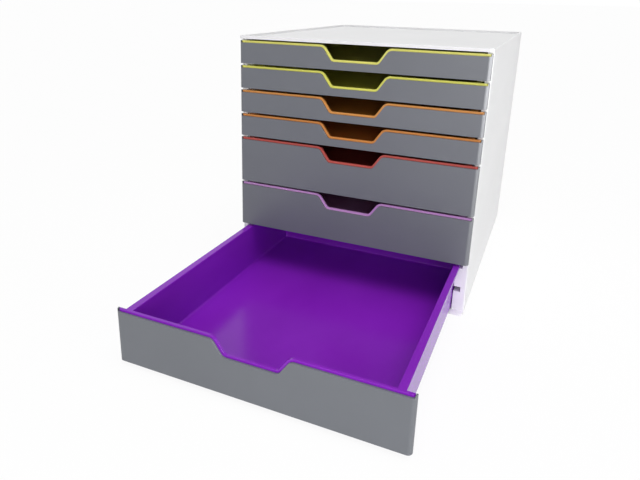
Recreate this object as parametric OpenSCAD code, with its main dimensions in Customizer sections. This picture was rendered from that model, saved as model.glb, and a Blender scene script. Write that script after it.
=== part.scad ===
// Desktop drawer box for sheets of paper: a housing of flat panels with a runner frame on each side,
// slim drawers above deep ones, each a coloured tray with a grey cover clipped over its front wall.
// X runs to the right, Y to the back and Z up. The origin is on the table, at the middle of the
// closed housing's footprint. The bottom drawer is drawn pulled out.

/* [Housing] */
// Width over the side panels
body_w = 292; // [230:1:360]
// Depth from the closed drawer fronts to the back
body_d = 356; // [330:1:420]
// Height of one drawer unit
unit_h = 29.5; // [27:0.5:40]
// Thickness of the top cover at its lip and rims
top_h = 3.6; // [3.2:0.1:6]
// Thickness of the base at its front lip
base_h = 3.5; // [3.2:0.1:6]
// Distance from the closed drawer fronts back to the side panels
lip_d = 7; // [7:0.1:10]
// Plan radius of the front corners
corner_r = 4.5; // [2:0.1:4.6]
// Thickness of the side panels
side_t = 5.7; // [3:0.1:8]
// Thickness of a side panel's skin and of the edges turned in round it
side_skin = 2.4; // [1.5:0.1:3]
// Number of hollow bays behind a side panel's skin
side_bays = 4; // [1:1:8]
// Thickness of the ribs between those bays
side_rib = 1.6; // [1:0.1:3]
// Rounding of the side panels' long outer edges
edge_r = 2; // [0.5:0.1:2.4]
// Thickness of the back panel
back_t = 2.5; // [1.5:0.1:4]
// How far the back panel is set in from the back edges
back_inset = 1; // [0:0.1:4]
// Gap between the highest drawer's space and the top lip
head_gap = 0.6; // [0.2:0.1:2]

/* [Top cover] */
// Width of the raised rims round the recess
rim_w = 3; // [2.5:0.1:10]
// Depth of the recess below the rims
recess_d = 2.8; // [1:0.1:3]
// Thickness of the ceiling under the recess
ceiling_t = 1.4; // [1:0.1:3]
// Corner radius of the recess
recess_r = 3; // [1:0.1:8]

/* [Base] */
// How far the foot band is set in from the side panels
band_inset = 4; // [2:0.1:5]
// Height of the foot band below the side panels
band_h = 2.7; // [1.5:0.1:3.2]
// Width of the foot band
band_w = 3; // [2:0.1:8]
// Thickness of the floor plate
floor_plate_t = 2; // [1:0.1:2.6]
// Width of the ribs under the floor plate
base_rib_w = 2; // [1:0.1:5]
// Length of a rubber pad
pad_l = 30; // [16:1:60]
// Width of a rubber pad
pad_w = 10; // [6:0.5:20]
// Thickness of a rubber pad
pad_t = 1.2; // [0.8:0.1:1.5]
// How far a pad stands out below the base
pad_out = 0.3; // [0.2:0.1:0.6]
// Distance from the foot band to a pad
pad_margin = 8; // [4:1:30]

/* [Runner frames] */
// Thickness of a runner frame's wall
frame_t = 1.4; // [1:0.1:2]
// Height of a runner groove
groove_h = 6.1; // [5.6:0.1:8]
// Width of a runner frame from its inner face to the side panel
frame_w = 8.5; // [6:0.1:12]
// Thickness of the skin behind a groove
groove_skin = 1; // [0.6:0.1:1.4]
// Thickness of a runner frame's end walls
frame_end_t = 2; // [1:0.1:4]
// Distance from the mouth of a groove to its stop
stop_in = 12; // [4:0.5:20]
// Length of the stop in a groove
stop_l = 6; // [3:0.5:12]
// Gap between a tray's flange and the floor of its groove
groove_under = 0.3; // [0.1:0.1:0.6]
// Gap between a tray's flange and the stop above it
stop_clear = 0.4; // [0.2:0.1:0.6]
// Clearance between a tray's side wall and its runner frame
side_clear = 0.8; // [0.4:0.1:1.5]

/* [Drawers] */
// Units of height of a slim drawer
slim_units = 1; // [1:1:2]
// Units of height of a deep drawer
deep_units = 2; // [1:1:4]
// Gap between one front and the next, coloured edge to cover
front_gap = 2.8; // [1.5:0.1:4]
// Height of the coloured edge above a front cover
edge_h = 2.4; // [1:0.1:3]
// How much narrower the fronts are than the housing, on each side
front_inset = 0.5; // [0:0.1:1.5]
// Thickness of the whole front, cover and tray wall
front_t = 4.8; // [4.7:0.1:6.6]
// Thickness of a front cover
cover_t = 2; // [1.5:0.1:2.5]
// Thickness of a cover's ends, outside the tray's front wall
cover_end_t = 1.6; // [1.2:0.1:3]
// Thickness of the hook under a cover
hook_t = 1.5; // [1:0.1:2]
// Clearance between a cover and its tray
clip_clear = 0.3; // [0.1:0.05:0.5]
// How far the bottom drawer is drawn pulled out
pull_out = 240; // [0:1:280]
// Longest travel of a drawer
travel = 290; // [200:1:290]

/* [Finger notch] */
// Width of the notch at the top of the cover
notch_top_w = 77; // [64:1:110]
// Width of the notch at its bottom
notch_bottom_w = 55; // [30:1:58]
// Depth of the notch below the top of the cover
notch_d = 15.7; // [8:0.1:16.5]
// Radius of the notch's corners in the cover
notch_r = 6; // [3.2:0.1:8]

/* [Trays] */
// Thickness of the tray walls
wall_t = 1.8; // [1.2:0.1:2.5]
// Thickness of the tray floor
floor_t = 1.5; // [1:0.1:2.5]
// Radius between floor and walls, inside
fillet_r = 2.5; // [1:0.1:5]
// Width of the side flange, outside the wall
flange_w = 5.4; // [4:0.1:6]
// Height of the side flange
flange_h = 4.3; // [3:0.1:4.8]
// Thickness of the flange's skin
flange_t = 1.6; // [1:0.1:1.8]
// Radius at the inner top edge of the side walls
rim_r = 2; // [0.5:0.1:2.5]
// Gap behind a closed tray
rear_gap = 3.5; // [2:0.1:8]
// Depth of the flange behind the back wall
back_flange = 4; // [2:0.1:6]
// Length of the stop lug on the flange
lug_l = 8; // [4:0.5:15]
// Distance from the stop lug to either edge of the flange
lug_margin = 1; // [0.5:0.1:1.5]
// Height of the stop lug above the flange
lug_h = 0.9; // [0.5:0.1:1]

/* [Colours] */
// Housing
housing_colour = "#e4e5e6"; // ["#e4e5e6", "#ffffff", "#c8c8c8"]
// Front covers
cover_colour = "#7b7e84"; // ["#7b7e84", "#4a4c50", "#d0d0d0"]
// Rubber pads
pad_colour = "#2c2c2e"; // ["#2c2c2e", "#777777"]

/* [Hidden] */
$fn = 32;

// Tray colours from the top drawer to the bottom one
tray_colours = ["#e9ea3a", "#d6dc2a", "#ff9a2e", "#f58220", "#e8433f", "#b266c4", "#6a12b8"];
// Steps of a rounded outline corner
arc_steps = 6;
// Overshoot of a cut past the face that it opens
past = 1;

// The drawers' heights in units, from the top, and their number
drawer_units = [
    slim_units, slim_units, slim_units, slim_units, deep_units, deep_units, deep_units
];
drawer_count = len(drawer_units);
function units_below(i) = i >= drawer_count ? 0 : drawer_units[i] + units_below(i + 1);
unit_count = units_below(0);

// Levels of the housing
base_bottom = pad_out;
base_top = base_bottom + base_h;
panel_bottom = base_bottom + band_h;
stack_top = base_top + unit_count * unit_h;
cover_bottom = stack_top + head_gap;
ceiling_top = cover_bottom + top_h - recess_d;
ceiling_bottom = ceiling_top - ceiling_t;
total_h = cover_bottom + top_h;

// Places across and along the housing
half_w = body_w / 2;
front_y = -body_d / 2;
back_y = body_d / 2;
panel_front_y = front_y + lip_d;
panel_in_x = half_w - side_t;
frame_in_x = panel_in_x - frame_w;
back_panel_y = back_y - back_inset - back_t;
groove_x = panel_in_x - groove_skin;

// Places on a closed drawer, which are the same for all
cover_half_w = half_w - front_inset;
cover_in_x = cover_half_w - cover_end_t;
cover_in_r = max(corner_r - cover_t, 0);
wall_front_y = front_y + cover_t + clip_clear;
wall_back_y = front_y + front_t;
front_wall_mid_y = (wall_front_y + wall_back_y) / 2;
front_wall_half_w = cover_in_x - clip_clear;
front_wall_r = max(cover_in_r - clip_clear, 0);
tray_out_x = frame_in_x - side_clear;
tray_in_x = tray_out_x - wall_t;
foot_half_w = tray_out_x - floor_t;
flange_x = tray_out_x + flange_w;
tray_back_y = back_panel_y - rear_gap - back_flange;
lug_front_y = min(panel_front_y + stop_in + stop_l + travel + clip_clear, tray_back_y - lug_l);
lug_in_x = tray_out_x + lug_margin;
lug_w = flange_w - 2 * lug_margin;

// Levels of drawer i, counted from 0 at the top
function slot_bottom(i) = base_top + units_below(i + 1) * unit_h;
function slot_top(i) = base_top + units_below(i) * unit_h;
function cover_low(i) = slot_bottom(i) + front_gap / 2;
function edge_top(i) = slot_top(i) - front_gap / 2;
function cover_top(i) = edge_top(i) - edge_h;
function tray_low(i) = cover_low(i) + clip_clear;
function floor_mid(i) = tray_low(i) + floor_t / 2;
function wall_low(i) = cover_low(i) + hook_t + clip_clear;
function pulled(i) = i == drawer_count - 1 ? pull_out : 0;

// Level of the flange's top where a tray's space ends at unit boundary u, and its groove's floor
function flange_top(u) = base_top + u * unit_h - front_gap / 2;
function groove_low(u) = flange_top(u) - flange_h - groove_under;

// Points of an outline with its corners rounded: each corner is [x, y, radius]
function unit_vec(v) = v / norm(v);
function corner_arc(a, b, c) =
    let (
        u = unit_vec([a[0] - b[0], a[1] - b[1]]),
        w = unit_vec([c[0] - b[0], c[1] - b[1]]),
        half = acos(u * w) / 2,
        side = u[0] * w[1] - u[1] * w[0] > 0 ? -1 : 1,
        centre = [b[0], b[1]] + unit_vec(u + w) * b[2] / sin(half),
        from_centre = [b[0], b[1]] + u * b[2] / tan(half) - centre,
        turn = side * (180 - 2 * half)
    )
    [for (k = [0 : arc_steps])
        let (t = turn * k / arc_steps)
        centre + [
            from_centre[0] * cos(t) - from_centre[1] * sin(t),
            from_centre[0] * sin(t) + from_centre[1] * cos(t)
        ]];
function rounded(corners) = [
    for (k = [0 : len(corners) - 1])
        let (
            n = len(corners),
            b = corners[k],
            p = b[2] > 0 ? corner_arc(corners[(k + n - 1) % n], b, corners[(k + 1) % n]) : [[b[0], b[1]]]
        )
        each p
];

// Copies a part for both sides
module both_sides() {
    children();
    mirror([1, 0, 0])
        children();
}

// A profile drawn across the box in X and Z, run from y0 to y1
module run_y(y0, y1) {
    translate([0, y1, 0])
        rotate([90, 0, 0])
            linear_extrude(y1 - y0)
                children();
}

module block(low, high) {
    translate(low)
        cube(high - low);
}

// Plan of a bar across the front with rounded front corners
module front_plan(half, y0, y1, radius) {
    polygon(rounded([
        [-half, y0, radius], [half, y0, radius], [half, y1, 0], [-half, y1, 0]
    ]));
}

// Outline of the finger notch in a wall whose top is at z, moved in by inset on all its sides
module notch_outline(z, inset, top) {
    slope = atan2(notch_d, (notch_top_w - notch_bottom_w) / 2);
    shift = inset / sin(slope);
    run = (notch_top_w - notch_bottom_w) / 2 / notch_d;
    bottom_z = z - notch_d + inset;
    bottom = notch_bottom_w / 2 - shift + inset * run;
    mouth = bottom + (top - bottom_z) * run;
    mouth_r = notch_r + inset;
    flare = mouth_r * tan(slope / 2);
    polygon(rounded([
        [-bottom, bottom_z, notch_r - inset], [bottom, bottom_z, notch_r - inset],
        [mouth, top, mouth_r], [mouth + flare + past, top, 0], [mouth + flare + past, top + past, 0],
        [-mouth - flare - past, top + past, 0], [-mouth - flare - past, top, 0], [-mouth, top, mouth_r]
    ]));
}

// Housing

module top_cover() {
    color(housing_colour)
    difference() {
        union() {
            // Slab with the lip over the fronts
            translate([0, 0, cover_bottom])
                linear_extrude(top_h)
                    front_plan(half_w, front_y, back_y, corner_r);
            // Ceiling let down between the side panels
            block([-panel_in_x, panel_front_y, ceiling_bottom], [panel_in_x, back_panel_y, cover_bottom]);
        }
        // Recess inside the rims, open to nothing: the lip closes it at the front
        translate([0, 0, ceiling_top])
            linear_extrude(recess_d + past)
                polygon(rounded([
                    [-half_w + rim_w, panel_front_y, recess_r], [half_w - rim_w, panel_front_y, recess_r],
                    [half_w - rim_w, back_y - rim_w, recess_r], [-half_w + rim_w, back_y - rim_w, recess_r]
                ]));
        // Rounded long edges
        both_sides()
            top_edge_cut();
    }
}

// Waste outside the rounded upper edge of the top cover, on the right
module top_edge_cut() {
    run_y(front_y - past, back_y + past)
        difference() {
            translate([half_w - edge_r, total_h - edge_r])
                square(edge_r + past);
            translate([half_w - edge_r, total_h - edge_r])
                circle(edge_r);
        }
}

// A skin with its edges turned in, stiffened by upright ribs on the hidden side
module right_side_panel() {
    first_y = panel_front_y + side_skin;
    bay = (back_panel_y - side_skin + side_rib - first_y) / side_bays;
    color(housing_colour)
    difference() {
        translate([0, 0, panel_bottom])
            linear_extrude(cover_bottom - panel_bottom)
                polygon(rounded([
                    [panel_in_x, panel_front_y, 0], [half_w, panel_front_y, edge_r],
                    [half_w, back_y, edge_r], [panel_in_x, back_y, 0]
                ]));
        for (k = [0 : side_bays - 1])
            block(
                [panel_in_x - past, first_y + k * bay, base_top + side_skin],
                [half_w - side_skin, first_y + (k + 1) * bay - side_rib, ceiling_bottom - side_skin]
            );
    }
}

module left_side_panel() {
    mirror([1, 0, 0])
        right_side_panel();
}

// Hollows on the outer side of a runner frame, between one groove and the next
module frame_hollows() {
    for (u = [0 : unit_count])
        let (
            low = u == 0 ? base_top : groove_low(u) + groove_h,
            high = u == unit_count ? ceiling_bottom : groove_low(u + 1)
        )
        if (high - low > 3 * frame_t)
            block(
                [frame_in_x + frame_t, panel_front_y + frame_end_t, low + frame_t],
                [panel_in_x + past, back_panel_y - frame_end_t, high - frame_t]
            );
}

// A thin wall that folds round each groove, with a stop under the groove's ceiling near its mouth
module right_runner_frame() {
    color(housing_colour)
    difference() {
        block([frame_in_x, panel_front_y, base_top], [panel_in_x, back_panel_y, ceiling_bottom]);
        for (u = [1 : unit_count]) {
            block(
                [frame_in_x - past, panel_front_y - past, groove_low(u)],
                [groove_x, back_panel_y + past, flange_top(u) + stop_clear]
            );
            block(
                [frame_in_x - past, panel_front_y - past, groove_low(u)],
                [groove_x, panel_front_y + stop_in, groove_low(u) + groove_h]
            );
            block(
                [frame_in_x - past, panel_front_y + stop_in + stop_l, groove_low(u)],
                [groove_x, back_panel_y + past, groove_low(u) + groove_h]
            );
        }
        frame_hollows();
    }
}

module left_runner_frame() {
    mirror([1, 0, 0])
        right_runner_frame();
}

module back_panel() {
    color(housing_colour)
    block([-panel_in_x, back_panel_y, base_top], [panel_in_x, back_panel_y + back_t, cover_bottom]);
}

// One quarter's pad, in plan
module pad_plan(grow) {
    pad_x = half_w - band_inset - band_w - pad_margin - pad_l;
    pad_y = back_y - band_inset - band_w - pad_margin - pad_w;
    translate([pad_x - grow, pad_y - grow])
        square([pad_l + 2 * grow, pad_w + 2 * grow]);
}

module each_quarter() {
    for (sx = [0, 1], sy = [0, 1])
        mirror([sx, 0, 0])
            mirror([0, sy, 0])
                children();
}

module base_plate() {
    band_x = half_w - band_inset;
    hollow_top = base_top - floor_plate_t;
    color(housing_colour)
    difference() {
        union() {
            // Lip under the bottom front
            translate([0, 0, base_bottom])
                linear_extrude(base_h)
                    front_plan(half_w, front_y, panel_front_y, corner_r);
            // Foot band under the side panels
            block([-band_x, panel_front_y, base_bottom], [band_x, back_y - band_inset, panel_bottom]);
            // Floor between the side panels, run on under the back panel
            block([-panel_in_x, panel_front_y, panel_bottom], [panel_in_x, back_y - back_inset, base_top]);
        }
        // Hollow underside, crossed by ribs and by bosses for the pads
        difference() {
            block(
                [-band_x + band_w, panel_front_y + band_w, base_bottom - past],
                [band_x - band_w, back_y - band_inset - band_w, hollow_top]
            );
            for (k = [-1 : 1])
                block(
                    [k * band_x / 2 - base_rib_w / 2, front_y, base_bottom],
                    [k * band_x / 2 + base_rib_w / 2, back_y - band_inset, base_top]
                );
            each_quarter()
                translate([0, 0, base_bottom])
                    linear_extrude(base_h)
                        pad_plan(band_w);
        }
        // Seats of the pads
        each_quarter()
            translate([0, 0, base_bottom - past])
                linear_extrude(pad_t - pad_out + past)
                    pad_plan(clip_clear);
    }
}

module rubber_feet() {
    color(pad_colour)
    each_quarter()
        linear_extrude(pad_t)
            pad_plan(0);
}

// Drawers

// Cross-section of tray i: floor, walls with a hooked flange outside, and fillets inside
module tray_profile(i) {
    low = tray_low(i);
    top = edge_top(i);
    skirt = top - flange_h;
    half = [
        [tray_out_x, low, floor_t],
        [tray_out_x, top - flange_t, 0],
        [flange_x - flange_t, top - flange_t, 0],
        [flange_x - flange_t, skirt, 0],
        [flange_x, skirt, 0],
        [flange_x, top, flange_t / 2],
        [tray_in_x, top, rim_r],
        [tray_in_x, low + floor_t, fillet_r]
    ];
    other = [for (k = [len(half) - 1 : -1 : 0]) [-half[k][0], half[k][1], half[k][2]]];
    polygon(rounded(concat(half, other)));
}

// Front wall of tray i: its ends follow the cover's corners, and its notch is a little smaller
module tray_front(i) {
    difference() {
        translate([0, 0, wall_low(i)])
            linear_extrude(edge_top(i) - wall_low(i))
                front_plan(front_wall_half_w, wall_front_y, wall_back_y, front_wall_r);
        run_y(wall_front_y - past, wall_back_y + past)
            notch_outline(cover_top(i), edge_h, edge_top(i));
    }
}

// Fillet along an upright inner corner, at the back of a tray
module tray_corner_fillet(i) {
    translate([0, 0, floor_mid(i)])
        linear_extrude(edge_top(i) - rim_r - floor_mid(i))
            difference() {
                translate([tray_in_x - fillet_r, tray_back_y - wall_t - fillet_r])
                    square(fillet_r + wall_t / 2);
                translate([tray_in_x - fillet_r, tray_back_y - wall_t - fillet_r])
                    circle(fillet_r);
            }
}

module tray(i) {
    color(tray_colours[i])
    translate([0, -pulled(i), 0])
        union() {
            // Floor and sides: the sides run into the front wall, the floor ends behind the cover's hook
            difference() {
                run_y(front_wall_mid_y, tray_back_y)
                    tray_profile(i);
                block([-flange_x - past, front_y, tray_low(i) - past],
                    [flange_x + past, wall_back_y, wall_low(i)]);
            }
            tray_front(i);
            // Foot of the front wall, and its root in the floor
            block([-foot_half_w, front_wall_mid_y, wall_low(i)],
                [foot_half_w, wall_back_y + wall_t, wall_low(i) + floor_t]);
            block([-foot_half_w, wall_back_y, floor_mid(i)],
                [foot_half_w, wall_back_y + wall_t, wall_low(i) + floor_t / 2]);
            // Back wall, its root in the floor, and its flange
            block([-tray_out_x, tray_back_y - wall_t, tray_low(i) + floor_t],
                [tray_out_x, tray_back_y, edge_top(i) - flange_t / 2]);
            block([-foot_half_w, tray_back_y - wall_t, floor_mid(i)],
                [foot_half_w, tray_back_y, floor_mid(i) + floor_t]);
            block([-flange_x, tray_back_y - wall_t, edge_top(i) - flange_t],
                [flange_x, tray_back_y + back_flange, edge_top(i)]);
            both_sides()
                tray_corner_fillet(i);
            // Stop lugs on the flanges
            both_sides()
                block([lug_in_x, lug_front_y, edge_top(i) - flange_t / 2],
                    [lug_in_x + lug_w, lug_front_y + lug_l, edge_top(i) + lug_h]);
        }
}

// A plate with ends that close the tray's front wall off at both sides, and a hook under it
module front_cover(i) {
    low = cover_low(i);
    color(cover_colour)
    translate([0, -pulled(i), 0])
        difference() {
            translate([0, 0, low])
                linear_extrude(edge_top(i) - low)
                    front_plan(cover_half_w, front_y, wall_back_y, corner_r);
            // Pocket that the tray's front wall fills, above the hook
            translate([0, 0, low + hook_t])
                linear_extrude(edge_top(i) - low - hook_t + past)
                    front_plan(cover_in_x, front_y + cover_t, wall_back_y + past, cover_in_r);
            // Room between the ends for the coloured edge
            block([-cover_in_x, front_y - past, cover_top(i)],
                [cover_in_x, wall_back_y + past, edge_top(i) + past]);
            run_y(front_y - past, front_y + cover_t + past)
                notch_outline(cover_top(i), 0, cover_top(i));
        }
}

top_cover();
left_side_panel();
right_side_panel();
left_runner_frame();
right_runner_frame();
back_panel();
base_plate();
rubber_feet();
tray(0);  // tray_1
tray(1);  // tray_2
tray(2);  // tray_3
tray(3);  // tray_4
tray(4);  // tray_5
tray(5);  // tray_6
tray(6);  // tray_7
front_cover(0);  // front_cover_1
front_cover(1);  // front_cover_2
front_cover(2);  // front_cover_3
front_cover(3);  // front_cover_4
front_cover(4);  // front_cover_5
front_cover(5);  // front_cover_6
front_cover(6);  // front_cover_7
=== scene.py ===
import math

import bpy
from mathutils import Euler, Matrix, Vector


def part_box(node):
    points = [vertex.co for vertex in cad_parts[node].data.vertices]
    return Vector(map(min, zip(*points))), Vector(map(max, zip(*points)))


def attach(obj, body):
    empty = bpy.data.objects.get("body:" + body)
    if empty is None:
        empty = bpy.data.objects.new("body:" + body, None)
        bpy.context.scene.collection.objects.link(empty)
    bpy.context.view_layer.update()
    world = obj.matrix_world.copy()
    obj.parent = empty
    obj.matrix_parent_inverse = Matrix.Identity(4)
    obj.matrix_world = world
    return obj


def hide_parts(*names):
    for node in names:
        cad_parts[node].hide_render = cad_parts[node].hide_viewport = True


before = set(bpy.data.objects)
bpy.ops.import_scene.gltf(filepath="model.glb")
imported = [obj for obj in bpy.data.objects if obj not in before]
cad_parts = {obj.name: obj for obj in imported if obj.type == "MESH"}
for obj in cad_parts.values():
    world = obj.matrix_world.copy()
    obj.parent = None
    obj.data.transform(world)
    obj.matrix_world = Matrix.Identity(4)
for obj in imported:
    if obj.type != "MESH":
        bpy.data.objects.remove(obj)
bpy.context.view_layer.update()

MM = 0.001

# Sizes of the mouldings that the frame's boxes don't give
COVER_SKIN = 2.0 * MM
COVER_END = 1.6 * MM
COVER_HOOK = 1.5 * MM
EDGE_HEIGHT = 2.4 * MM
FRONT_CORNER = 4.5 * MM
NOTCH_TOP = 77.0 * MM
NOTCH_BOTTOM = 55.0 * MM
NOTCH_DEPTH = 15.7 * MM
NOTCH_CORNER = 6.0 * MM
CLEARANCE = 0.3 * MM
TRAY_WALL = 1.8 * MM
TRAY_FLOOR = 1.5 * MM
TRAY_FILLET = 2.5 * MM
TRAY_RIM = 1.6 * MM
FLANGE_WIDTH = 5.4 * MM
FLANGE_HEIGHT = 4.3 * MM
FLANGE_SKIN = 1.6 * MM
SIDE_CLEARANCE = 0.8 * MM
BACK_FLANGE = 4.0 * MM
LUG_HEIGHT = 0.9 * MM
LUG_LENGTH = 8.0 * MM
LUG_MARGIN = 1.0 * MM
TRAVEL = 290.0 * MM
RIM_WIDTH = 3.0 * MM
RECESS_DEPTH = 2.8 * MM
RECESS_CORNER = 3.0 * MM
LONG_EDGE = 2.0 * MM
SIDE_SKIN = 2.4 * MM
SIDE_BAYS = 4
SIDE_RIB = 1.6 * MM
FRAME_WALL = 1.4 * MM
FRAME_END = 2.0 * MM
GROOVE_HEIGHT = 6.1 * MM
GROOVE_UNDER = 0.3 * MM
GROOVE_SKIN = 1.0 * MM
STOP_PLACE = 12.0 * MM
STOP_LENGTH = 6.0 * MM
STOP_CLEARANCE = 0.4 * MM
FRONT_GAP = 2.8 * MM
UNITS = 10
LEAST_HOLLOW = 3 * FRAME_WALL
CEILING_LAP = RECESS_DEPTH / 8
FIELD_BORDER = 12 * MM
FIELD_DEPTH = 0.6 * MM
FIELD_CORNER = 8 * MM
BAND_INSET = 4.0 * MM
BAND_WIDTH = 3.0 * MM
HALF_RIB = 1.0 * MM
FLOOR_PLATE = 2.0 * MM
PAD_SEAT = 0.9 * MM
PAD_LENGTH = 30 * MM
PAD_WIDTH = 10 * MM
PAD_CORNER = 2 * MM
PAD_STRIPES = 7
PAD_SLOT_START = 0.4
PAD_SLOT_END = 0.6
PAD_SLOT_DEPTH = 0.3 * MM

# How far a cutting tool reaches past a face, and a joined block into its neighbour
PAST = 1.0 * MM

# Widths of the softened edges
LID_SOFTNESS = 0.5 * MM
FRONT_SOFTNESS = 0.45 * MM
TRAY_SOFTNESS = 0.35 * MM
PANEL_SOFTNESS = 0.3 * MM
LINER_SOFTNESS = 0.25 * MM
PAD_SOFTNESS = 0.12 * MM

# Segments of the roundings, of a softened edge, and of one on the lid or a front cover
CORNER_STEPS = 8
BEND_STEPS = 6
EDGE_STEPS = 5
FLOOR_STEPS = 4
SOFT_STEPS = 2
FINE_SOFT_STEPS = 3

# Degrees between two faces above which their edge is softened, and up to which it is shaded smooth
SOFTEN_ANGLE = 40
SMOOTH_ANGLE = 35

# What counts as one place, one point and one plane, and how many decimals of a metre a point keeps
SAME_PLACE = 0.02 * MM
SAME_POINT = 0.002 * MM
SAME_PLANE_DEGREES = 0.05
POINT_DECIMALS = 7

SLIM_DRAWERS = range(1, 5)
DEEP_DRAWERS = range(5, 8)


# ---------------------------------------------------------------- modelling by hand

def select_only(piece):
    bpy.ops.object.select_all(action="DESELECT")
    piece.select_set(True)
    bpy.context.view_layer.objects.active = piece


def settle(piece):
    """Rounds every point to a tenth of a micrometre, so that faces meant to meet lie in one plane."""
    for vertex in piece.data.vertices:
        vertex.co = [round(value, POINT_DECIMALS) for value in vertex.co]


def block(name, low, high):
    """A box between two corners, with its place in its mesh."""
    low, high = Vector(low), Vector(high)
    bpy.ops.object.select_all(action="DESELECT")
    bpy.ops.mesh.primitive_cube_add(size=1, location=(low + high) / 2)
    piece = bpy.context.object
    piece.name = name
    piece.data.name = name
    piece.scale = high - low
    bpy.ops.object.transform_apply(location=True, rotation=True, scale=True)
    settle(piece)
    return piece


def pick_edges(piece, test):
    """Goes into edit mode with only the edges selected whose two ends pass the test."""
    select_only(piece)
    bpy.ops.object.mode_set(mode="EDIT")
    bpy.ops.mesh.select_mode(type="EDGE")
    bpy.ops.mesh.select_all(action="DESELECT")
    bpy.ops.object.mode_set(mode="OBJECT")
    mesh = piece.data
    for edge in mesh.edges:
        a, b = (mesh.vertices[v].co for v in edge.vertices)
        edge.select = test(a, b)
    bpy.ops.object.mode_set(mode="EDIT")


def round_edges(piece, radius, segments, test):
    """Rounds the edges that pass the test to a radius."""
    pick_edges(piece, test)
    bpy.ops.mesh.bevel(offset=radius, segments=segments, affect="EDGES", clamp_overlap=False)
    bpy.ops.object.mode_set(mode="OBJECT")
    settle(piece)


def near(value, target):
    return abs(value - target) < SAME_PLACE


def along(axis, *places):
    """A test for edges that run along an axis (0, 1, 2) at the given places on the other axes."""
    def test(a, b):
        others = [i for i in range(3) if i != axis]
        if any(not near(a[i], b[i]) for i in others):
            return False
        return any(all(near(a[i], place[k]) for k, i in enumerate(others)) for place in places)
    return test


def apply_boolean(piece, tool, operation):
    """Cuts or fuses the piece with a tool, and takes the tool away."""
    select_only(piece)
    modifier = piece.modifiers.new("cut", "BOOLEAN")
    modifier.operation = operation
    modifier.solver = "EXACT"
    modifier.object = tool
    bpy.ops.object.modifier_apply(modifier=modifier.name)
    bpy.data.objects.remove(tool)
    settle(piece)


def cut(piece, tool):
    apply_boolean(piece, tool, "DIFFERENCE")


def fuse(piece, tool):
    apply_boolean(piece, tool, "UNION")


def joined(tools):
    """Separate tools as one object, for one boolean."""
    bpy.ops.object.select_all(action="DESELECT")
    for tool in tools:
        tool.select_set(True)
    bpy.context.view_layer.objects.active = tools[0]
    bpy.ops.object.join()
    return tools[0]


def cut_boxes(piece, boxes):
    cut(piece, joined([block("tool", low, high) for low, high in boxes]))


def merge_flat_faces(piece):
    """Takes the seams out of faces that lie in one plane, so that edges can be rounded across them."""
    select_only(piece)
    bpy.ops.object.mode_set(mode="EDIT")
    bpy.ops.mesh.select_all(action="SELECT")
    bpy.ops.mesh.remove_doubles(threshold=SAME_POINT)
    bpy.ops.mesh.dissolve_limited(
        angle_limit=math.radians(SAME_PLANE_DEGREES), use_dissolve_boundaries=True
    )
    bpy.ops.object.mode_set(mode="OBJECT")


def soften(piece, width, segments=SOFT_STEPS):
    """Takes the sharpness off every edge, and shades the piece smooth across the soft ones."""
    select_only(piece)
    modifier = piece.modifiers.new("soften", "BEVEL")
    modifier.width = width
    modifier.segments = segments
    modifier.limit_method = "ANGLE"
    modifier.angle_limit = math.radians(SOFTEN_ANGLE)
    modifier.harden_normals = True
    bpy.ops.object.modifier_apply(modifier=modifier.name)
    bpy.ops.object.shade_smooth_by_angle(angle=math.radians(SMOOTH_ANGLE))
    weighted = piece.modifiers.new("even", "WEIGHTED_NORMAL")
    weighted.keep_sharp = True
    bpy.ops.object.modifier_apply(modifier=weighted.name)


def copy_of(piece, name, shift):
    """A copy with its own mesh, moved by shift."""
    select_only(piece)
    bpy.ops.object.duplicate()
    twin = bpy.context.object
    twin.name = name
    twin.data.name = name
    twin.data.transform(Matrix.Translation(shift))
    return twin


def mirrored(piece, name):
    """A copy on the other side of the box, with its faces turned out again."""
    twin = copy_of(piece, name, Vector((0, 0, 0)))
    select_only(twin)
    bpy.ops.object.mode_set(mode="EDIT")
    bpy.ops.mesh.select_all(action="SELECT")
    bpy.ops.transform.mirror(constraint_axis=(True, False, False), center_override=(0, 0, 0))
    bpy.ops.mesh.normals_make_consistent(inside=False)
    bpy.ops.object.mode_set(mode="OBJECT")
    return twin


def dress(piece, material, body, node):
    """Gives a piece its material and its body, and hides the CAD node that it replaces."""
    piece.data.materials.clear()
    piece.data.materials.append(material)
    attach(piece, body)
    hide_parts(node)


# ---------------------------------------------------------------- materials

FLOW_SCALE = 9.0
FLOW_DETAIL = 4.0
FLOW_STRETCH = (1.0, 0.6, 1.6)
GLOSS_SCALE = 55.0
GLOSS_DETAIL = 5.0
GLOSS_LOW = 0.95
GLOSS_HIGH = 1.08
GRAIN_DETAIL = 2.0
GRAIN_STRENGTH = 0.6
NOISE_LOW = 0.3
NOISE_HIGH = 0.7
PLASTIC_IOR = 1.5


def new_material(name):
    material = bpy.data.materials.new(name)
    material.use_nodes = True
    nodes = material.node_tree.nodes
    return material, nodes, material.node_tree.links, nodes["Principled BSDF"]


def noise(nodes, links, where, scale, detail, stretch=(1, 1, 1)):
    mapping = nodes.new("ShaderNodeMapping")
    mapping.inputs["Scale"].default_value = stretch
    links.new(where, mapping.inputs["Vector"])
    texture = nodes.new("ShaderNodeTexNoise")
    texture.inputs["Scale"].default_value = scale
    texture.inputs["Detail"].default_value = detail
    links.new(mapping.outputs["Vector"], texture.inputs["Vector"])
    return texture.outputs["Fac"]


def spread(nodes, links, value, low, high):
    """Maps the middle of a noise's range to low and high."""
    ranged = nodes.new("ShaderNodeMapRange")
    ranged.inputs["From Min"].default_value = NOISE_LOW
    ranged.inputs["From Max"].default_value = NOISE_HIGH
    ranged.inputs["To Min"].default_value = low
    ranged.inputs["To Max"].default_value = high
    links.new(value, ranged.inputs["Value"])
    return ranged.outputs["Result"]


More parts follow.
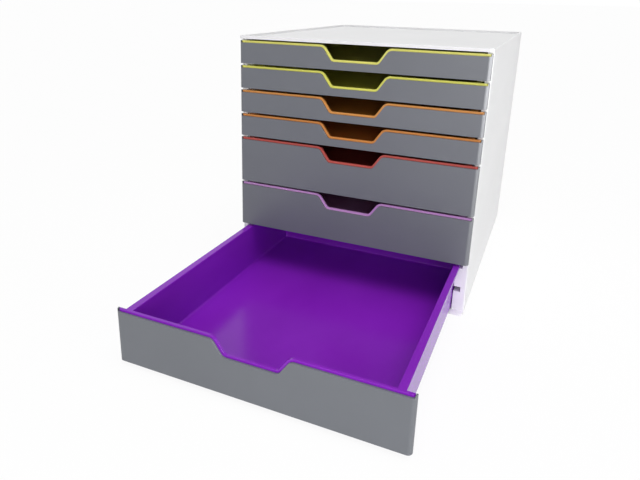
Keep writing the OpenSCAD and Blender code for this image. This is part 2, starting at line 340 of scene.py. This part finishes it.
def linear(hex_colour):
    """A screen colour such as #7b7e84, by the sRGB curve, as the linear values that a shader takes."""
    channels = [int(hex_colour[k:k + 2], 16) / 255 for k in (1, 3, 5)]
    return [c / 12.92 if c <= 0.04045 else ((c + 0.055) / 1.055) ** 2.4 for c in channels] + [1.0]


def moulded_plastic(name, light, dark, roughness, grain, grain_depth, specular=0.5):
    """Moulded plastic or rubber: a spark-eroded grain, faint flow marks and a little uneven gloss."""
    material, nodes, links, shader = new_material(name)
    where = nodes.new("ShaderNodeTexCoord").outputs["Object"]
    flow = noise(nodes, links, where, FLOW_SCALE, FLOW_DETAIL, FLOW_STRETCH)
    mix = nodes.new("ShaderNodeMix")
    mix.data_type = "RGBA"
    mix.inputs["A"].default_value = linear(dark)
    mix.inputs["B"].default_value = linear(light)
    links.new(spread(nodes, links, flow, 0.0, 1.0), mix.inputs["Factor"])
    links.new(mix.outputs["Result"], shader.inputs["Base Color"])
    gloss = noise(nodes, links, where, GLOSS_SCALE, GLOSS_DETAIL)
    uneven = spread(nodes, links, gloss, roughness * GLOSS_LOW, roughness * GLOSS_HIGH)
    links.new(uneven, shader.inputs["Roughness"])
    fine = noise(nodes, links, where, 1.0 / grain, GRAIN_DETAIL)
    bump = nodes.new("ShaderNodeBump")
    bump.inputs["Strength"].default_value = GRAIN_STRENGTH
    bump.inputs["Distance"].default_value = grain_depth
    links.new(fine, bump.inputs["Height"])
    links.new(bump.outputs["Normal"], shader.inputs["Normal"])
    shader.inputs["Specular IOR Level"].default_value = specular
    shader.inputs["IOR"].default_value = PLASTIC_IOR
    return material


housing_plastic = moulded_plastic(
    "housing_plastic", "#ebebec", "#e6e6e7", roughness=0.42, grain=0.45 * MM, grain_depth=0.008 * MM
)
cover_plastic = moulded_plastic(
    "cover_plastic", "#686b71", "#64676d", roughness=0.42, grain=0.4 * MM, grain_depth=0.002 * MM
)
pad_rubber = moulded_plastic(
    "pad_rubber", "#343436", "#2a2a2c", roughness=0.8, grain=0.8 * MM, grain_depth=0.08 * MM
)
TRAY_PLASTICS = {
    1: ("yellow_tray", "#eeea7c", "#e6e172"),
    2: ("lime_tray", "#e6e46c", "#dcda62"),
    3: ("orange_tray", "#dc964e", "#d38c46"),
    4: ("deep_orange_tray", "#d68b45", "#cd823d"),
    5: ("red_tray", "#c4564f", "#b84c46"),
    6: ("lilac_tray", "#c996d2", "#be8ac8"),
    7: ("violet_tray", "#8824be", "#7e1cb2"),
}
tray_materials = {
    index: moulded_plastic(
        name, light, dark, roughness=0.2, grain=0.5 * MM, grain_depth=0.0006 * MM, specular=0.3
    )
    for index, (name, light, dark) in TRAY_PLASTICS.items()
}


# ---------------------------------------------------------------- housing

side_low, side_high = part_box("right_side_panel")
frame_low, frame_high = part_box("right_runner_frame")
top_low, top_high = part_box("top_cover")
base_low, base_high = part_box("base_plate")
back_low, back_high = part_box("back_panel")
front_y = top_low.y
half_width = top_high.x


def make_top_cover():
    slab_bottom = side_high.z
    piece = block("top_cover_shell", (-half_width, front_y, slab_bottom), top_high)
    front_corners = along(2, (-half_width, front_y), (half_width, front_y))
    round_edges(piece, FRONT_CORNER, CORNER_STEPS, front_corners)
    long_edges = along(1, (-half_width, top_high.z), (half_width, top_high.z))
    round_edges(piece, LONG_EDGE, EDGE_STEPS, long_edges)
    ceiling = block(
        "ceiling",
        (-side_low.x, side_low.y, top_low.z),
        (side_low.x, back_low.y, slab_bottom + CEILING_LAP)
    )
    fuse(piece, ceiling)
    floor_z = top_high.z - RECESS_DEPTH
    low = Vector((-half_width + RIM_WIDTH, side_low.y, floor_z))
    high = Vector((half_width - RIM_WIDTH, top_high.y - RIM_WIDTH, top_high.z + PAST))
    recess = block("recess", low, high)
    corners = [(x, y) for x in (low.x, high.x) for y in (low.y, high.y)]
    round_edges(recess, RECESS_CORNER, BEND_STEPS, along(2, *corners))
    cut(piece, recess)
    soften(piece, LID_SOFTNESS, FINE_SOFT_STEPS)
    dress(piece, housing_plastic, "housing", "top_cover")


def make_side_panels():
    piece = block("right_side_shell", side_low, side_high)
    long_edges = along(2, (side_high.x, side_low.y), (side_high.x, side_high.y))
    round_edges(piece, LONG_EDGE, EDGE_STEPS, long_edges)
    first_y = side_low.y + SIDE_SKIN
    bay = (back_low.y - SIDE_SKIN + SIDE_RIB - first_y) / SIDE_BAYS
    cut_boxes(piece, [
        (
            (side_low.x - PAST, first_y + k * bay, frame_low.z + SIDE_SKIN),
            (side_high.x - SIDE_SKIN, first_y + (k + 1) * bay - SIDE_RIB, frame_high.z - SIDE_SKIN),
        )
        for k in range(SIDE_BAYS)
    ])
    soften(piece, PANEL_SOFTNESS)
    twin = mirrored(piece, "left_side_shell")
    dress(piece, housing_plastic, "housing", "right_side_panel")
    dress(twin, housing_plastic, "housing", "left_side_panel")


def groove_levels():
    """The floor of each runner groove and the top of the flange that runs in it."""
    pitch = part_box("front_cover_1")[1].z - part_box("front_cover_2")[1].z
    lowest = base_high.z + pitch - FRONT_GAP / 2
    for unit in range(UNITS):
        flange_top = lowest + unit * pitch
        yield flange_top - FLANGE_HEIGHT - GROOVE_UNDER, flange_top


def make_runner_frames():
    piece = block("right_runner_liner", frame_low, frame_high)
    groove_x = frame_high.x - GROOVE_SKIN
    levels = list(groove_levels())
    cut_boxes(piece, [
        (
            (frame_low.x - PAST, frame_low.y - PAST, low),
            (groove_x, frame_high.y + PAST, flange + STOP_CLEARANCE),
        )
        for low, flange in levels
    ])
    stop_front = frame_low.y + STOP_PLACE
    for front, back in (
        (frame_low.y - PAST, stop_front), (stop_front + STOP_LENGTH, frame_high.y + PAST)
    ):
        cut_boxes(piece, [
            (
                (frame_low.x - PAST, front, low + GROOVE_HEIGHT / 2),
                (groove_x, back, low + GROOVE_HEIGHT),
            )
            for low, flange in levels
        ])
    floors = [low for low, flange in levels] + [frame_high.z]
    ceilings = [frame_low.z] + [low + GROOVE_HEIGHT for low, flange in levels]
    cut_boxes(piece, [
        (
            (frame_low.x + FRAME_WALL, frame_low.y + FRAME_END, low + FRAME_WALL),
            (frame_high.x + PAST, frame_high.y - FRAME_END, high - FRAME_WALL),
        )
        for low, high in zip(ceilings, floors)
        if high - low > LEAST_HOLLOW
    ])
    soften(piece, LINER_SOFTNESS)
    twin = mirrored(piece, "left_runner_liner")
    dress(piece, housing_plastic, "housing", "right_runner_frame")
    dress(twin, housing_plastic, "housing", "left_runner_frame")


def make_back_panel():
    piece = block("back_sheet", back_low, back_high)
    low = Vector((back_low.x + FIELD_BORDER, back_high.y - FIELD_DEPTH, back_low.z + FIELD_BORDER))
    high = Vector((back_high.x - FIELD_BORDER, back_high.y + PAST, back_high.z - FIELD_BORDER))
    field = block("field", low, high)
    corners = [(x, z) for x in (low.x, high.x) for z in (low.z, high.z)]
    round_edges(field, FIELD_CORNER, CORNER_STEPS, along(1, *corners))
    cut(piece, field)
    soften(piece, LINER_SOFTNESS)
    dress(piece, housing_plastic, "housing", "back_panel")


def make_base():
    band_x = half_width - BAND_INSET
    band_back = top_high.y - BAND_INSET
    piece = block("base_tray", (-half_width, front_y, base_low.z), (half_width, side_low.y, base_high.z))
    front_corners = along(2, (-half_width, front_y), (half_width, front_y))
    round_edges(piece, FRONT_CORNER, CORNER_STEPS, front_corners)
    fuse(piece, block("band", (-band_x, side_low.y - PAST, base_low.z), (band_x, band_back, side_low.z)))
    fuse(piece, block(
        "floor", (-side_low.x, side_low.y - PAST, side_low.z - PAST), (side_low.x, base_high.y, base_high.z)
    ))
    pads = pad_boxes()
    reach = min(low.y for low, high in pads if low.y > 0) - BAND_WIDTH
    bays = ((HALF_RIB, band_x / 2 - HALF_RIB), (band_x / 2 + HALF_RIB, band_x - BAND_WIDTH))
    hollows = []
    for side in (-1, 1):
        for inner, outer in bays:
            xs = sorted((side * inner, side * outer))
            hollows.append((
                (xs[0], -reach, base_low.z - PAST),
                (xs[1], reach, base_high.z - FLOOR_PLATE),
            ))
    cut_boxes(piece, hollows)
    cut_boxes(piece, [
        (
            (low.x - CLEARANCE, low.y - CLEARANCE, base_low.z - PAST),
            (high.x + CLEARANCE, high.y + CLEARANCE, base_low.z + PAD_SEAT),
        )
        for low, high in pads
    ])
    soften(piece, PANEL_SOFTNESS)
    dress(piece, housing_plastic, "housing", "base_plate")


def pad_boxes():
    """The lowest and highest corners of the four rubber pads."""
    low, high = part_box("rubber_feet")
    size = Vector((PAD_LENGTH, PAD_WIDTH, high.z - low.z))
    boxes = []
    for x in (low.x, high.x - size.x):
        for y in (low.y, high.y - size.y):
            corner = Vector((x, y, low.z))
            boxes.append((corner, corner + size))
    return boxes


def make_pads():
    pads = []
    for low, high in pad_boxes():
        pad = block("pad", low, high)
        corners = [(x, y) for x in (low.x, high.x) for y in (low.y, high.y)]
        round_edges(pad, PAD_CORNER, EDGE_STEPS, along(2, *corners))
        pitch = (high.x - low.x) / PAD_STRIPES
        cut_boxes(pad, [
            (
                (low.x + (k + PAD_SLOT_START) * pitch, low.y - PAST, low.z - PAST),
                (low.x + (k + PAD_SLOT_END) * pitch, high.y + PAST, low.z + PAD_SLOT_DEPTH),
            )
            for k in range(1, PAD_STRIPES - 1)
        ])
        soften(pad, PAD_SOFTNESS)
        pads.append(pad)
    piece = joined(pads)
    piece.name = "rubber_pads"
    dress(piece, pad_rubber, "housing", "rubber_feet")


# ---------------------------------------------------------------- drawers

def notch_tool(top_z, inset, y_low, y_high):
    """A wedge that cuts a finger notch, half the width of its mouth at top_z, and its sides' slope."""
    run = (NOTCH_TOP - NOTCH_BOTTOM) / 2 / NOTCH_DEPTH
    slope = math.atan(1 / run)
    bottom_z = top_z - NOTCH_DEPTH + inset
    bottom = NOTCH_BOTTOM / 2 - inset / math.sin(slope) + inset * run
    height = NOTCH_DEPTH + 2 * PAST
    tool = block("notch", (-bottom, y_low, bottom_z), (bottom, y_high, bottom_z + height))
    for vertex in tool.data.vertices:
        if vertex.co.z > bottom_z + height / 2:
            vertex.co.x = math.copysign(bottom + height * run, vertex.co.x)
    corner = (NOTCH_CORNER - inset) * math.tan(slope / 2)
    round_edges(tool, corner, BEND_STEPS, along(1, (-bottom, bottom_z), (bottom, bottom_z)))
    return tool, bottom + (top_z - bottom_z) * run, slope


def cut_notch(piece, cover_top, wall_top, inset, y_low, y_high):
    """Cuts the notch into a wall, smaller than the cover's by the inset, and rounds its mouth."""
    tool, mouth, slope = notch_tool(cover_top, inset, y_low - PAST, y_high + PAST)
    run = 1 / math.tan(slope)
    mouth += (wall_top - cover_top) * run
    cut(piece, tool)
    corner = (NOTCH_CORNER + inset) * math.tan(slope / 2)
    round_edges(piece, corner, BEND_STEPS, along(1, (-mouth, wall_top), (mouth, wall_top)))


def make_cover(index):
    low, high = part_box(f"front_cover_{index}")
    piece = block(f"cover_{index}", low, high)
    round_edges(piece, FRONT_CORNER, CORNER_STEPS, along(2, (low.x, low.y), (high.x, low.y)))
    inner_x = high.x - COVER_END
    inner_y = low.y + COVER_SKIN
    cover_top = high.z - EDGE_HEIGHT
    pocket = block(
        "pocket", (-inner_x, inner_y, low.z + COVER_HOOK), (inner_x, high.y + PAST, high.z + PAST)
    )
    corners = along(2, (-inner_x, inner_y), (inner_x, inner_y))
    round_edges(pocket, FRONT_CORNER - COVER_SKIN, EDGE_STEPS, corners)
    cut(piece, pocket)
    cut_boxes(piece, [((-inner_x, low.y - PAST, cover_top), (inner_x, high.y + PAST, high.z + PAST))])
    cut_notch(piece, cover_top, cover_top, 0, low.y, low.y + COVER_SKIN)
    soften(piece, FRONT_SOFTNESS, FINE_SOFT_STEPS)
    return piece


def make_tray(index):
    low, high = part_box(f"tray_{index}")
    cover_low, cover_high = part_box(f"front_cover_{index}")
    top = cover_high.z
    cover_top = top - EDGE_HEIGHT
    wall_low = cover_low.z + COVER_HOOK + CLEARANCE
    wall_back = cover_high.y
    wall_middle = (low.y + wall_back) / 2
    out_x = frame_low.x - SIDE_CLEARANCE
    in_x = out_x - TRAY_WALL
    flange_x = out_x + FLANGE_WIDTH
    back_y = high.y - BACK_FLANGE
    back_wall_y = back_y - TRAY_WALL
    floor_z = low.z + TRAY_FLOOR

    # The shell from the middle of the front wall to the back, and the flanges round it
    piece = block(f"tray_{index}_shell", (-out_x, wall_middle, low.z), (out_x, back_y, top))
    round_edges(piece, TRAY_FLOOR, FLOOR_STEPS, along(1, (-out_x, low.z), (out_x, low.z)))
    for side in (-1, 1):
        xs = sorted((side * (out_x - TRAY_WALL / 2), side * flange_x))
        fuse(piece, block("flange", (xs[0], wall_middle, top - FLANGE_HEIGHT), (xs[1], back_y, top)))
    fuse(piece, block("back_flange", (-flange_x, back_wall_y, top - FLANGE_SKIN), (flange_x, high.y, top)))

    # The hollow, with its bottom edges and back corners rounded, and the channels under the flanges
    inside = block("inside", (-in_x, wall_middle - PAST, floor_z), (in_x, back_wall_y, top + PAST))
    sides = along(1, (-in_x, floor_z), (in_x, floor_z))
    corners = along(2, (-in_x, back_wall_y), (in_x, back_wall_y))
    back = along(0, (back_wall_y, floor_z))
    round_edges(inside, TRAY_FILLET, EDGE_STEPS, lambda a, b: sides(a, b) or corners(a, b) or back(a, b))
    cut(piece, inside)
    channel_x = flange_x - FLANGE_SKIN
    cut_boxes(piece, [
        (
            (min(side * out_x, side * channel_x), wall_middle - PAST, top - FLANGE_HEIGHT - PAST),
            (max(side * out_x, side * channel_x), back_y + PAST, top - FLANGE_SKIN),
        )
        for side in (-1, 1)
    ])

    # The front wall, its foot in the floor, and the room below it for the cover's hook
    wall_x = cover_high.x - COVER_END - CLEARANCE
    wall = block("wall", (-wall_x, low.y, wall_low), (wall_x, wall_back, top))
    wall_corner = FRONT_CORNER - COVER_SKIN - CLEARANCE
    round_edges(wall, wall_corner, EDGE_STEPS, along(2, (-wall_x, low.y), (wall_x, low.y)))
    cut_notch(wall, cover_top, top, EDGE_HEIGHT, low.y, wall_back)
    fuse(piece, wall)
    foot_x = out_x - TRAY_FLOOR
    foot_low = floor_z - TRAY_FLOOR / 2
    fuse(piece, block(
        "foot", (-foot_x, wall_middle, foot_low), (foot_x, wall_back + TRAY_WALL, floor_z + TRAY_FLOOR)
    ))
    cut_boxes(piece, [((-wall_x - PAST, low.y - PAST, low.z - PAST), (wall_x + PAST, wall_back, wall_low))])

    # The lugs that meet the stops in the grooves
    lug_y = side_low.y + STOP_PLACE + STOP_LENGTH + TRAVEL + CLEARANCE
    lug_low = top - FLANGE_SKIN / 2
    for side in (-1, 1):
        xs = sorted((side * (out_x + LUG_MARGIN), side * (flange_x - LUG_MARGIN)))
        fuse(piece, block("lug", (xs[0], lug_y, lug_low), (xs[1], lug_y + LUG_LENGTH, top + LUG_HEIGHT)))
    merge_flat_faces(piece)

    def at_the_mouth(a, b):
        """The inner edges of the tray's top, at its sides and back."""
        if not (near(a.z, top) and near(b.z, top)):
            return False
        slack = PAST / 2
        inner = all(abs(point.x) < in_x + slack and point.y < back_wall_y + slack for point in (a, b))
        return inner and max(a.y, b.y) > wall_back + PAST

    round_edges(piece, TRAY_RIM, EDGE_STEPS, at_the_mouth)
    soften(piece, TRAY_SOFTNESS)
    return piece


def make_drawers():
    """One cover and one tray of each height are modelled, and the others are copies of them."""
    for drawers in (SLIM_DRAWERS, DEEP_DRAWERS):
        first = drawers[0]
        for make, node in ((make_cover, "front_cover"), (make_tray, "tray")):
            model = make(first)
            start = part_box(f"{node}_{first}")[0]
            for index in drawers:
                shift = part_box(f"{node}_{index}")[0] - start
                name = model.name.replace(str(first), str(index))
                piece = model if index == first else copy_of(model, name, shift)
                material = cover_plastic if node == "front_cover" else tray_materials[index]
                dress(piece, material, f"drawer_{index}", f"{node}_{index}")


make_top_cover()
make_side_panels()
make_runner_frames()
make_back_panel()
make_base()
make_pads()
make_drawers()


# ---------------------------------------------------------------- floor, light and camera

FLOOR_SIZE = 120
FLOOR_TONE = (0.9, 0.9, 0.9, 1)
FLOOR_ROUGHNESS = 0.9
FLOOR_WHITE_SHARE = 0.92
ROOM_STRENGTH = 0.3
WHITE_STRENGTH = 1.0
WHITE = (1, 1, 1, 1)


def seen_or_mirrored(nodes, links):
    """1 for rays from the camera and for mirrored or passed ones, 0 for the light's own bounces."""
    ray = nodes.new("ShaderNodeLightPath")
    total = ray.outputs["Is Camera Ray"]
    for kind in ("Is Glossy Ray", "Is Transmission Ray"):
        either = nodes.new("ShaderNodeMath")
        either.operation = "MAXIMUM"
        links.new(total, either.inputs[0])
        links.new(ray.outputs[kind], either.inputs[1])
        total = either.outputs["Value"]
    return total


def make_floor():
    bpy.ops.object.select_all(action="DESELECT")
    bpy.ops.mesh.primitive_plane_add(size=FLOOR_SIZE)
    floor = bpy.context.object
    floor.name = "floor"
    material, nodes, links, shader = new_material("pale_floor")
    shader.inputs["Base Color"].default_value = FLOOR_TONE
    shader.inputs["Roughness"].default_value = FLOOR_ROUGHNESS
    glow = nodes.new("ShaderNodeEmission")
    glow.inputs["Strength"].default_value = WHITE_STRENGTH
    share = nodes.new("ShaderNodeMath")
    share.operation = "MULTIPLY"
    share.inputs[1].default_value = FLOOR_WHITE_SHARE
    links.new(seen_or_mirrored(nodes, links), share.inputs[0])
    mix = nodes.new("ShaderNodeMixShader")
    links.new(share.outputs["Value"], mix.inputs["Fac"])
    links.new(shader.outputs["BSDF"], mix.inputs[1])
    links.new(glow.outputs["Emission"], mix.inputs[2])
    links.new(mix.outputs["Shader"], nodes["Material Output"].inputs["Surface"])
    floor.data.materials.append(material)


def make_world():
    world = bpy.data.worlds.new("studio")
    bpy.context.scene.world = world
    world.use_nodes = True
    nodes, links = world.node_tree.nodes, world.node_tree.links
    room = nodes["Background"]
    room.inputs["Color"].default_value = WHITE
    room.inputs["Strength"].default_value = ROOM_STRENGTH
    white = nodes.new("ShaderNodeBackground")
    white.inputs["Strength"].default_value = WHITE_STRENGTH
    white.inputs["Color"].default_value = WHITE
    mix = nodes.new("ShaderNodeMixShader")
    links.new(seen_or_mirrored(nodes, links), mix.inputs["Fac"])
    links.new(room.outputs["Background"], mix.inputs[1])
    links.new(white.outputs["Background"], mix.inputs[2])
    links.new(mix.outputs["Shader"], nodes["World Output"].inputs["Surface"])


def aim(lamp, place, target):
    """Puts a lamp in the scene at a place and turns it to a target."""
    bpy.context.scene.collection.objects.link(lamp)
    lamp.location = place
    lamp.rotation_euler = (Vector(target) - Vector(place)).to_track_quat("-Z", "Y").to_euler()


def soft_box(name, place, target, size, power):
    """A flat lamp of a width and a height."""
    light = bpy.data.lights.new(name, "AREA")
    light.shape = "RECTANGLE"
    light.size, light.size_y = size
    light.energy = power
    aim(bpy.data.objects.new(name, light), place, target)


def wide_light(name, origin, strength, softness):
    """An even light over the whole floor, from a far source that is softness degrees wide."""
    light = bpy.data.lights.new(name, "SUN")
    light.energy = strength
    light.angle = math.radians(softness)
    aim(bpy.data.objects.new(name, light), origin, (0, 0, 0))


def make_lights():
    wide_light("sky_panel", origin=(0.2, -0.15, 0.97), strength=1.7, softness=50)
    soft_box("front_panel", place=(0.35, -1.35, 0.4), target=(0.14, -0.18, 0.15), size=(0.6, 0.7), power=6)
    soft_box("glint_panel", place=(1.2, -0.5, 0.3), target=(0.146, -0.178, 0.15), size=(2.2, 0.6), power=70)
    # This lamp shows only in the plastic's gloss and doesn't light its colour
    bpy.data.objects["glint_panel"].visible_diffuse = False


CAMERA_PLACE = (0.2089, -0.7871, 0.3495)
CAMERA_YAW = 24.01
CAMERA_PITCH = 17.85
CAMERA_ROLL = 1.20
PHOTO_WIDTH = 640
PHOTO_HEIGHT = 480
FOCAL_PIXELS = 572.77
PRINCIPAL_POINT = (300, 180)
SENSOR_WIDTH = 36
NEAREST_SEEN = 0.01
FARTHEST_SEEN = 200


def make_camera():
    data = bpy.data.cameras.new("camera")
    data.sensor_width = SENSOR_WIDTH
    data.lens = FOCAL_PIXELS / PHOTO_WIDTH * data.sensor_width
    data.shift_x = (PHOTO_WIDTH / 2 - PRINCIPAL_POINT[0]) / PHOTO_WIDTH
    data.shift_y = (PRINCIPAL_POINT[1] - PHOTO_HEIGHT / 2) / PHOTO_WIDTH
    data.clip_start = NEAREST_SEEN
    data.clip_end = FARTHEST_SEEN
    camera = bpy.data.objects.new("camera", data)
    bpy.context.scene.collection.objects.link(camera)
    turn = Euler((math.radians(90 - CAMERA_PITCH), 0, math.radians(CAMERA_YAW))).to_matrix()
    roll = Matrix.Rotation(math.radians(CAMERA_ROLL), 3, "Z")
    camera.matrix_world = Matrix.Translation(CAMERA_PLACE) @ (turn @ roll).to_4x4()
    bpy.context.scene.camera = camera


make_floor()
make_world()
make_lights()
make_camera()
bpy.context.scene.view_settings.view_transform = "Standard"
